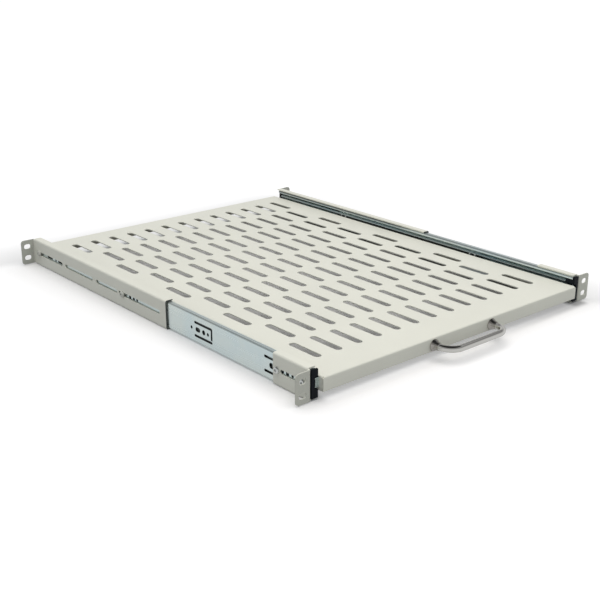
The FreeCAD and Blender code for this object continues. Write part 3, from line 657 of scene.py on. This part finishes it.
@dataclass
class ShelfTray:
    """The slotted deck with its four folded lips."""

    shop: Workshop
    slot_length: float = 48 * MM
    slot_width: float = 9 * MM
    slot_pitch: float = 29.5 * MM
    row_pitch: float = 59 * MM
    first_row: float = 59.5 * MM
    rows: int = 9
    full_row: int = 13
    gauge: float = 1.5 * MM
    bend: float = 2 * MM
    slit: float = 0.4 * MM
    broken: float = 0.3 * MM
    corner: float = 50.0
    round_steps: int = 28
    bend_steps: int = 6

    def build(self) -> Object:
        """Punch the deck, fold its lips, give it its thickness and return the piece."""
        nodes = ("shelf_deck", "front_lip", "rear_lip", *(side.named("side_lip") for side in Side))
        low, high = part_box("shelf_deck")
        low.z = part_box("front_lip")[0].z
        centre = Vector((0, (low.y + high.y) / 2, high.z))
        wide, deep = high.x - low.x - 2 * self.bend, high.y - low.y - 2 * self.bend
        bm = bmesh.new()
        bmesh.ops.create_grid(bm, x_segments=1, y_segments=1, size=0.5)
        bmesh.ops.scale(bm, vec=(wide, deep, 1), verts=bm.verts)
        bmesh.ops.translate(bm, vec=centre, verts=bm.verts)
        bmesh.ops.delete(bm, geom=bm.faces[:], context="FACES_ONLY")
        border = bm.edges[:]
        for row in range(self.rows):
            self._punch_row(bm, row, high.z)
        bmesh.ops.triangle_fill(bm, use_beauty=True, edges=bm.edges[:], normal=(0, 0, 1))
        for side in border:
            self._fold(bm, side, centre, high.z - low.z)
        piece = self.shop.add(bm, "painted_tray", *nodes)
        thick = piece.modifiers.new("sheet", "SOLIDIFY")
        thick.thickness = self.gauge
        thick.offset = -1.0
        thick.use_even_offset = True
        soft = piece.modifiers.new("broken_edges", "BEVEL")
        soft.width = self.broken
        soft.segments = 2
        soft.limit_method = "ANGLE"
        soft.angle_limit = math.radians(self.corner)
        soft.harden_normals = True
        return piece

    def _punch_row(self, bm: BMesh, row: int, top: float) -> None:
        """Add one row of round-ended slots as loops of edges.

        Args:
            bm: The deck.
            row: The row's number, from the front.
            top: The deck's height.
        """
        count = self.full_row - row % 2
        reach = (self.slot_length - self.slot_width) / 2
        turn = Matrix.Rotation(math.pi / self.round_steps, 4, "Z")
        for column in range(count):
            x = (column - (count - 1) / 2) * self.slot_pitch
            y = self.first_row + row * self.row_pitch
            loop = bmesh.ops.create_circle(bm, cap_ends=False, segments=self.round_steps,
                                           radius=self.slot_width / 2,
                                           matrix=Matrix.Translation((x, y, top)) @ turn)["verts"]
            for sign in (-1, 1):
                half = [vert for vert in loop if (vert.co.y - y) * sign > 0]
                bmesh.ops.translate(bm, vec=(0, sign * reach, 0), verts=half)

    def _fold(self, bm: BMesh, side: BMEdge, centre: Vector, drop: float) -> None:
        """Fold one lip down from an edge of the deck.

        Args:
            bm: The deck.
            side: The deck's edge.
            centre: The deck's centre.
            drop: The lip's height from the deck's top.
        """
        ends = [vert.co.copy() for vert in side.verts]
        middle = (ends[0] + ends[1]) / 2
        outward = (middle - centre).normalized()
        along = Vector((0, 0, 1)).cross(outward)
        pivot = middle - Vector((0, 0, self.bend))
        ring = [side]
        made: list[BMVert] = []
        for _ in range(self.bend_steps):
            step = bmesh.ops.spin(bm, geom=ring, cent=pivot, axis=along, dvec=(0, 0, 0), steps=1,
                                  angle=math.pi / 2 / self.bend_steps, use_merge=False,
                                  use_duplicate=False)["geom_last"]
            ring = edges_of(step)
            made += verts_of(step)
        verts = verts_of(bmesh.ops.extrude_edge_only(bm, edges=ring)["geom"])
        bmesh.ops.translate(bm, vec=(0, 0, self.bend - drop), verts=verts)
        self._close_corner(bm, made + verts, middle, along, abs(outward.y) > 0.5)

    def _close_corner(self, bm: BMesh, verts: list, middle: Vector, along: Vector, covers: bool) -> None:
        """Lengthen a lip below its fold, so that it meets its neighbours at the corners.

        Args:
            bm: The deck.
            verts: The lip's points.
            middle: The middle of the deck's edge.
            along: The direction of that edge.
            covers: Whether the lip runs past its neighbours' ends, as the front and rear ones do.
        """
        reach = self.bend if covers else self.bend - self.gauge - self.slit
        for vert in verts:
            progress = min((middle.z - vert.co.z) / self.bend, 1.0)
            sign = math.copysign(1.0, (vert.co - middle).dot(along))
            bmesh.ops.translate(bm, vec=along * (sign * reach * progress), verts=[vert])


@dataclass
class BowHandle:
    """The chrome bow on the front lip, with a turned collar at each foot."""

    shop: Workshop
    bend: float = 17 * MM
    bend_steps: int = 14
    steps: int = 40
    # Rings of a foot from the lip outwards: place along its length and share of its largest radius
    flare: tuple = ((0.0, 0.95), (0.06, 1.0), (0.14, 1.0), (0.3, 0.87), (0.5, 0.765), (0.75, 0.69),
                    (1.0, 0.645))

    def build(self) -> list[Object]:
        """Bend the bar, turn the collars and return both pieces."""
        low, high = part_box("handle_bar")
        self.radius = (high.z - low.z) / 2
        self.height = (high.z + low.z) / 2
        self.half = (high.x - low.x) / 2 - self.radius
        self.foot = high.y
        self.front = low.y + self.radius
        return [self._bar(), self._collars()]

    def _bar(self) -> Object:
        """Push a ring along the bow's line and return the bar."""
        bm = bmesh.new()
        start = Matrix.Translation((-self.half, self.foot, self.height))
        ring = bmesh.ops.create_circle(bm, cap_ends=True, segments=self.steps, radius=self.radius,
                                       matrix=start @ Matrix.Rotation(math.pi / 2, 4, "X"))["verts"]
        edges = list({edge for vert in ring for edge in vert.link_edges})
        corner = self.front + self.bend
        edges = self._push(bm, edges, (0, corner - self.foot, 0))
        edges = self._turn(bm, edges, (-self.half + self.bend, corner, self.height))
        edges = self._push(bm, edges, (2 * (self.half - self.bend), 0, 0))
        edges = self._turn(bm, edges, (self.half - self.bend, corner, self.height))
        edges = self._push(bm, edges, (0, self.foot - corner, 0))
        bmesh.ops.contextual_create(bm, geom=edges)
        return self.shop.add(bm, "chrome_bow", "handle_bar")

    def _push(self, bm: BMesh, ring: list, move: tuple) -> list:
        """Draw a ring of edges out in a straight line and return its new edges."""
        made = bmesh.ops.extrude_edge_only(bm, edges=ring)["geom"]
        bmesh.ops.translate(bm, vec=move, verts=verts_of(made))
        return edges_of(made)

    def _turn(self, bm: BMesh, ring: list, pivot: tuple) -> list:
        """Draw a ring of edges round a quarter bend and return its new edges."""
        made = bmesh.ops.spin(bm, geom=ring, cent=pivot, axis=(0, 0, 1), dvec=(0, 0, 0), angle=math.pi / 2,
                              steps=self.bend_steps, use_merge=False, use_duplicate=False)["geom_last"]
        return edges_of(made)

    def _collars(self) -> Object:
        """Turn the two flared feet and return them as one piece."""
        low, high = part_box("handle_collars")
        outer = (high.z - low.z) / 2
        bm = bmesh.new()
        for side in Side:
            foot = Matrix.Translation((side.value * self.half, high.y, self.height))
            (place, share), *rings = self.flare
            disc = bmesh.ops.create_circle(bm, cap_ends=True, segments=self.steps, radius=share * outer,
                                           matrix=foot @ Matrix.Rotation(math.pi / 2, 4, "X"))["verts"]
            face = disc[0].link_faces[0]
            for next_place, next_share in rings:
                made = extrude_cap(bm, face)
                verts = verts_of(made)
                bmesh.ops.translate(bm, vec=(0, (next_place - place) * (low.y - high.y), 0), verts=verts)
                scale = next_share / share
                bmesh.ops.scale(bm, vec=(scale, 1, scale), space=foot.inverted(), verts=verts)
                face = face_of(made)
                place, share = next_place, next_share
        bmesh.ops.recalc_face_normals(bm, faces=bm.faces)
        piece = self.shop.add(bm, "chrome_feet", "handle_collars", finish="handle_feet")
        flatten_normals(piece, angle=50.0)
        return piece


@dataclass
class ScrewRow:
    """A row of pan-head screws with a cross recess, in the places of a CAD node's screws."""

    shop: Workshop
    node: str
    count: int
    outward: tuple
    head: float = 4 * MM
    height: float = 2.4 * MM
    rim: float = 0.9 * MM
    # Rings of the crown: share of its height and of the ring below
    crown: tuple = ((0.5, 0.93), (0.32, 0.86), (0.18, 0.80))
    shank: float = 1.98 * MM
    chamfer: float = 0.4 * MM
    recess: float = 1.1 * MM
    cross: float = 0.55 * MM
    taper: float = 0.8
    # Angle in radians by which each drive is turned from the one before
    spin: float = 0.7
    steps: int = 28
    finish: str = ""

    def build(self) -> Object:
        """Make one screw, set a copy at each place and return them as one piece."""
        low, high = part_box(self.node)
        outward = Vector(self.outward)
        size = high - low
        depth = abs(size.dot(outward))
        pattern = self._screw(depth - self.height)
        row = Vector((1, 0, 0)) if abs(outward.y) > 0.5 else Vector((0, 1, 0))
        middle = (low + high) / 2
        seat = middle + outward * (depth / 2 - self.height)
        span = abs(size.dot(row)) - 2 * self.head
        bm = bmesh.new()
        for number in range(self.count):
            place = seat + row * span * (number / (self.count - 1) - 0.5)
            spin = Matrix.Rotation(self.spin * number, 4, "Z")
            before = set(bm.verts)
            bm.from_mesh(pattern)
            turn = outward.to_track_quat("Z", "Y").to_matrix().to_4x4()
            bmesh.ops.transform(bm, matrix=Matrix.Translation(place) @ turn @ spin,
                                verts=[vert for vert in bm.verts if vert not in before])
        bpy.data.meshes.remove(pattern)
        piece = self.shop.add(bm, f"cross_{self.node}", self.node, finish=self.finish)
        flatten_normals(piece, angle=35.0)
        return piece

    def _screw(self, length: float) -> bpy.types.Mesh:
        """Make one screw along Z, with its head's seat at the origin.

        Args:
            length: The shank's length.

        Returns:
            A mesh that the caller removes.
        """
        bm = bmesh.new()
        ring = bmesh.ops.create_circle(bm, cap_ends=True, segments=self.steps, radius=self.head)["verts"]
        cap = self._raise(bm, ring[0].link_faces[0], self.rim, 1.0)
        for share, scale in self.crown:
            cap = self._raise(bm, cap, share * (self.height - self.rim), scale)
        self._cut_cross(bm, cap)
        stem = bmesh.ops.create_circle(bm, cap_ends=True, segments=self.steps, radius=self.shank)["verts"]
        tip = self._raise(bm, stem[0].link_faces[0], self.chamfer - length, 1.0)
        self._raise(bm, tip, -self.chamfer, self.taper)
        bmesh.ops.recalc_face_normals(bm, faces=bm.faces)
        mesh = bpy.data.meshes.new("screw_pattern")
        bm.to_mesh(mesh)
        bm.free()
        return mesh

    def _raise(self, bm: BMesh, face: BMFace, rise: float, scale: float) -> BMFace:
        """Extrude a round face along Z, scale its new ring and return the new face."""
        made = extrude_cap(bm, face)
        verts = verts_of(made)
        bmesh.ops.translate(bm, vec=(0, 0, rise), verts=verts)
        bmesh.ops.scale(bm, vec=(scale, scale, 1), verts=verts)
        return face_of(made)

    def _cut_cross(self, bm: BMesh, cap: BMFace) -> None:
        """Cut the cross recess in a head's flat top.

        Args:
            bm: The screw.
            cap: The flat top.
        """
        top = cap.verts[0].co.z
        rim = cap.edges[:]
        bmesh.ops.delete(bm, geom=[cap], context="FACES_ONLY")
        grid = bmesh.ops.create_grid(bm, x_segments=3, y_segments=3, size=3 * self.cross,
                                     matrix=Matrix.Translation((0, 0, top)))["verts"]
        cells = {face for vert in grid for face in vert.link_faces}
        corners = [face for face in cells
                   if min(abs(face.calc_center_median().x), abs(face.calc_center_median().y)) > self.cross]
        cross = [face for face in cells if face not in corners]
        bmesh.ops.delete(bm, geom=corners, context="FACES")
        outline = [edge for edge in {edge for face in cross for edge in face.edges} if edge.is_boundary]
        verts = verts_of(bmesh.ops.extrude_face_region(bm, geom=cross, use_keep_orig=False)["geom"])
        bmesh.ops.translate(bm, vec=(0, 0, -self.recess), verts=verts)
        bmesh.ops.scale(bm, vec=(self.taper, self.taper, 1), verts=verts)
        left = [face for face in cross if face.is_valid]
        bmesh.ops.delete(bm, geom=left, context="FACES_ONLY")
        bmesh.ops.triangle_fill(bm, use_beauty=True, edges=rim + outline, normal=(0, 0, 1))


@dataclass
class BallSet:
    """The ground balls of one cage."""

    shop: Workshop
    node: str
    diameter: float = 3 * MM
    meridians: int = 20
    parallels: int = 14

    def build(self) -> Object:
        """Set a round ball at the middle of each of the node's solids and return them as one piece."""
        source = bmesh.new()
        source.from_mesh(self.shop.frame["nodes"][self.node].data)
        bmesh.ops.remove_doubles(source, verts=source.verts, dist=WELD)
        bm = bmesh.new()
        left = set(source.verts)
        while left:
            shell = self._shell(left.pop(), left)
            centre = sum((vert.co for vert in shell), Vector()) / len(shell)
            bmesh.ops.create_uvsphere(bm, u_segments=self.meridians, v_segments=self.parallels,
                                      radius=self.diameter / 2, matrix=Matrix.Translation(centre))
        source.free()
        return self.shop.add(bm, f"round_{self.node}", self.node)

    def _shell(self, first: BMVert, left: set) -> list:
        """Take the points joined to one point out of a set and return them."""
        shell = [first]
        for vert in shell:
            near = [edge.other_vert(vert) for edge in vert.link_edges]
            fresh = [other for other in near if other in left]
            left.difference_update(fresh)
            shell += fresh
        return shell


@dataclass
class Studio:
    """A white floor, one broad soft light above and a camera at the photograph's angle."""

    ground: float
    camera_place: tuple = (-0.828, -0.6955, 0.4288)
    yaw: float = 40.47
    pitch: float = 20.17
    lens: float = 61.56
    sensor: float = 36.0
    near_clip: float = 0.01
    lamp_place: tuple = (-0.02, -0.1, 1.55)
    lamp_span: float = 2.0
    lamp_power: float = 15.0
    lamp_colour: tuple = (1.05, 1.0, 0.95)
    ambient: float = 0.62
    ambient_colour: tuple = (0.94, 0.99, 1.03)
    floor_span: float = 24.0
    floor_colour: tuple = (1.0, 0.985, 0.98)
    floor_bounce: float = 0.3
    mirror_glow: float = 0.41
    # Rectangle of floor under the shelf, how far from it the floor turns quite white, and its glow there
    footprint: tuple = ((-0.223, -0.006), (0.223, 0.585))
    clear_within: float = 0.13
    clear_glow: float = 0.45
    # Stretch of the length over which that distance grows, and by how much. Past the far edges it doubles
    back_fade: tuple = (0.15, 0.35)
    back_share: float = 0.5
    # Light that reaches under the front lip, with where it starts, ends and stops short of the sides
    front_light: float = 0.33
    front_start: tuple = (-0.012, 0.006)
    front_end: tuple = (0.08, 0.045)
    front_sides: tuple = (-0.01, -0.022)
    # How much dimmer the floor is under the right half, and beyond the right and rear edges
    right_shade: float = 0.5
    right_fade: float = 0.012
    far_shade: float = 0.13
    far_reach: tuple = (0.17, 0.03)
    far_fade: tuple = (0.0, 0.03)
    # Heights of a direction over the horizon, with the grey that metal sees there
    room: tuple = ((0.0, 0.8), (0.1, 0.75), (0.34, 0.58), (0.48, 0.42), (0.54, 0.22), (0.6, 0.22),
                   (0.68, 0.34), (0.76, 0.42), (0.83, 0.03), (1.0, 0.02))

    def build(self) -> None:
        """Set up the floor, the light and the camera."""
        scene = bpy.context.scene
        scene.view_settings.view_transform = "Standard"
        self._floor()
        self._lamp()
        self._world()
        data = bpy.data.cameras.new("photo_camera")
        data.lens = self.lens
        data.sensor_width = self.sensor
        data.clip_start = self.near_clip
        camera = bpy.data.objects.new("photo_camera", data)
        camera.location = self.camera_place
        camera.rotation_euler = Euler((math.radians(90 - self.pitch), 0, math.radians(-self.yaw)))
        scene.collection.objects.link(camera)
        scene.camera = camera

    def _floor(self) -> None:
        """Lay the floor, which keeps the shelf's shadow and is white away from it."""
        bm = bmesh.new()
        bmesh.ops.create_grid(bm, x_segments=1, y_segments=1, size=self.floor_span / 2)
        bmesh.ops.translate(bm, vec=(0, 0, self.ground), verts=bm.verts)
        mesh = bpy.data.meshes.new("studio_floor")
        bm.to_mesh(mesh)
        bm.free()
        floor = bpy.data.objects.new("studio_floor", mesh)
        bpy.context.scene.collection.objects.link(floor)
        mesh.materials.append(self._floor_material())
        floor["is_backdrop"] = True

    def _floor_material(self) -> Material:
        """Return a white paper with a glow that grows with the distance from the shelf.

        It throws less light back at the shelf than it shows, so that the space under the deck stays dim,
        and metal sees it as a plain grey.
        """
        material = bpy.data.materials.new("studio_floor")
        material.use_nodes = True
        tree = material.node_tree
        tree.nodes.clear()
        dim = (*(self.floor_bounce,) * 3, 1)
        looks = ((dim, 0.0), (dim, self.mirror_glow), self._shade_floor(tree))
        self._show(tree, "ShaderNodeOutputMaterial", *(self._paper(tree, *look) for look in looks))
        return material

    def _shade_floor(self, tree: NodeTree) -> tuple:
        """Make the floor white away from the shelf, lighter under its front lip and dim under its right half.

        Args:
            tree: The floor's nodes.

        Returns:
            The paper's colour and its glow.
        """
        place = add_node(tree, "ShaderNodeTexCoord").outputs["Object"]
        across, along, _ = axes(tree, place)
        (_, front), (right, rear) = self.footprint
        away = self._distance(tree, place)
        width = combine(tree, "ABSOLUTE", across, 0.0)
        starts, ends, sides, aside, beyond = (
            smooth_step(tree, value, *(line + offset for offset in fade))
            for value, line, fade in ((along, front, self.front_start), (along, front, self.front_end),
                                      (width, right, self.front_sides), (across, right, self.far_fade),
                                      (along, rear, self.far_fade)))
        under_lip = combine(tree, "MULTIPLY", starts, ends, sides, self.front_light)
        far = combine(tree, "MAXIMUM", aside, beyond)
        back = combine(tree, "MULTIPLY", smooth_step(tree, along, *self.back_fade), self.back_share)
        stretch = combine(tree, "ADD", combine(tree, "MAXIMUM", far, back), 1.0)
        nearer = combine(tree, "DIVIDE", away, stretch)
        clear = combine(tree, "MULTIPLY", smooth_step(tree, nearer, 0.0, self.clear_within), self.clear_glow)
        dimmer = combine(tree, "MULTIPLY", smooth_step(tree, across, 0.0, right),
                         smooth_step(tree, away, self.right_fade, 0.0), self.right_shade)
        halo = combine(tree, "MULTIPLY", far, smooth_step(tree, away, *self.far_reach), self.far_shade)
        dimmer = combine(tree, "MAXIMUM", dimmer, halo)
        colour = mix_colours(tree, dimmer, self.floor_colour, (0, 0, 0))
        return colour, combine(tree, "ADD", under_lip, clear)

    def _distance(self, tree: NodeTree, place: NodeSocket) -> NodeSocket:
        """Return the distance of a point on the floor from the rectangle under the shelf."""
        low, high = (Vector((*corner, self.ground)) for corner in self.footprint)
        for operation, other in (("SUBTRACT", (low + high) / 2), ("ABSOLUTE", Vector()),
                                 ("SUBTRACT", (high - low) / 2), ("MAXIMUM", Vector())):
            values = {0: place, 1: other}
            place = add_node(tree, "ShaderNodeVectorMath", values, operation=operation).outputs["Vector"]
        return add_node(tree, "ShaderNodeVectorMath", {0: place}, operation="LENGTH").outputs["Value"]

    def _paper(self, tree: NodeTree, colour: NodeSocket | tuple, glow: NodeSocket | float) -> NodeSocket:
        """Add a matt paper that also glows and return its shader."""
        matt = add_node(tree, "ShaderNodeBsdfDiffuse", {"Color": colour}).outputs[0]
        light = add_node(tree, "ShaderNodeEmission", {"Strength": glow}).outputs[0]
        return add_node(tree, "ShaderNodeAddShader", {0: matt, 1: light}).outputs[0]

    def _show(self, tree: NodeTree, output: str, lighting: NodeSocket, mirrored: NodeSocket,
              seen: NodeSocket) -> None:
        """Give the floor or the room a look of its own for each kind of ray.

        Args:
            tree: The nodes.
            output: The type of the output node.
            lighting: The shader that lights the shelf.
            mirrored: The shader that metal sees.
            seen: The shader that the camera sees.
        """
        path = add_node(tree, "ShaderNodeLightPath").outputs
        shader = lighting
        for test, look in (("Is Glossy Ray", mirrored), ("Is Camera Ray", seen)):
            shader = add_node(tree, "ShaderNodeMixShader", {0: path[test], 1: shader, 2: look}).outputs[0]
        add_node(tree, output, {"Surface": shader})

    def _lamp(self) -> None:
        """Hang one broad square light above the shelf's front half, which mirrors don't see."""
        data = bpy.data.lights.new("overhead", "AREA")
        data.shape = "SQUARE"
        data.size = self.lamp_span
        data.energy = self.lamp_power
        data.color = self.lamp_colour
        lamp = bpy.data.objects.new("overhead", data)
        lamp.location = self.lamp_place
        lamp.visible_glossy = False
        bpy.context.scene.collection.objects.link(lamp)

    def _world(self) -> None:
        """Fill the room with even light. It looks white; metal sees it pale low down and dark overhead."""
        world = bpy.data.worlds.new("studio")
        bpy.context.scene.world = world
        world.use_nodes = True
        tree = world.node_tree
        tree.nodes.clear()
        _, _, up = axes(tree, add_node(tree, "ShaderNodeTexCoord").outputs["Generated"])
        ramp = add_node(tree, "ShaderNodeValToRGB", {"Fac": up})
        stops = ramp.color_ramp.elements
        while len(stops) < len(self.room):
            stops.new(0.5)
        for stop, (place, grey) in zip(stops, self.room):
            stop.position = place
            stop.color = (grey, grey, grey, 1)
        looks = (((*self.ambient_colour, 1), self.ambient), (ramp.outputs["Color"], 1.0), ((1, 1, 1, 1), 1.0))
        shaders = (add_node(tree, "ShaderNodeBackground", {"Color": colour, "Strength": strength}).outputs[0]
                   for colour, strength in looks)
        self._show(tree, "ShaderNodeOutputWorld", *shaders)


# Front end, rear end and width in millimetres of the openings punched in the outer rails and brackets
OPENINGS = {
    "outer_rail": ((18.6, 22.4, 3.8), (25.6, 29.4, 3.8), (33.0, 38.0, 5.0), (41.0, 46.0, 5.0),
                   (56.4, 65.0, 6.4), (171.5, 175.5, 4.0), (178.6, 184.4, 5.8), (188.2, 197.2, 5.4),
                   (203.1, 206.9, 3.8), (318.1, 321.9, 3.8), (325.3, 329.7, 4.4), (333.5, 338.5, 5.0),
                   (505.0, 519.0, 3.0), (523.1, 526.9, 3.8), (534.0, 549.0, 3.0)),
    "front_bracket": ((15.0, 45.0, 5.0),),
    "rear_bracket": ((267.0, 360.0, 5.0), (363.0, 415.0, 5.0), (423.0, 496.0, 5.0), (503.0, 575.0, 5.0)),
}


def build_slides(shop: Workshop) -> None:
    """Finish the slides, brackets and screws of both sides.

    Args:
        shop: The frame and its finishes.
    """
    for side in Side:
        for piece, width, finish in (("outer_rail", 0.2, ""), ("middle_rail", 0.2, "moving_rail"),
                                     ("inner_rail", 0.2, "moving_rail"),
                                     ("middle_bumper", 0.6, ""), ("rear_stop", 0.5, ""),
                                     ("front_bracket", 0.3, "front_bracket_paint"),
                                     ("rear_bracket", 0.3, "rear_bracket_paint")):
            openings = tuple(Opening(*sizes) for sizes in OPENINGS.get(piece, ()))
            SoftEdges(shop, side.named(piece), width * MM, finish=finish, openings=openings).build()
        for cage in ("outer", "inner"):
            BallSet(shop, side.named(f"{cage}_balls")).build()
        outward = (side.value, 0, 0)
        inward = (-side.value, 0, 0)
        ScrewRow(shop, side.named("front_screws"), 2, outward).build()
        # The clamp screws' heads take the paint's darker copy, which is painted shade
        ScrewRow(shop, side.named("clamp_screws"), 2, outward, finish="shaded_screw_paint").build()
        ScrewRow(shop, side.named("tray_screws"), 4, inward).build()


def main() -> None:
    """Build the shelf's pieces in order, then the studio."""
    logging.basicConfig(level=logging.INFO, format="%(name)s: %(message)s")
    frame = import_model()
    cad_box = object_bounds()
    shop = Workshop(frame)
    ShelfTray(shop).build()
    BowHandle(shop).build()
    ScrewRow(shop, "handle_screws", 2, (0, 1, 0)).build()
    build_slides(shop)
    Studio(ground=cad_box[0].z).build()


if __name__ == "__main__":
    main()
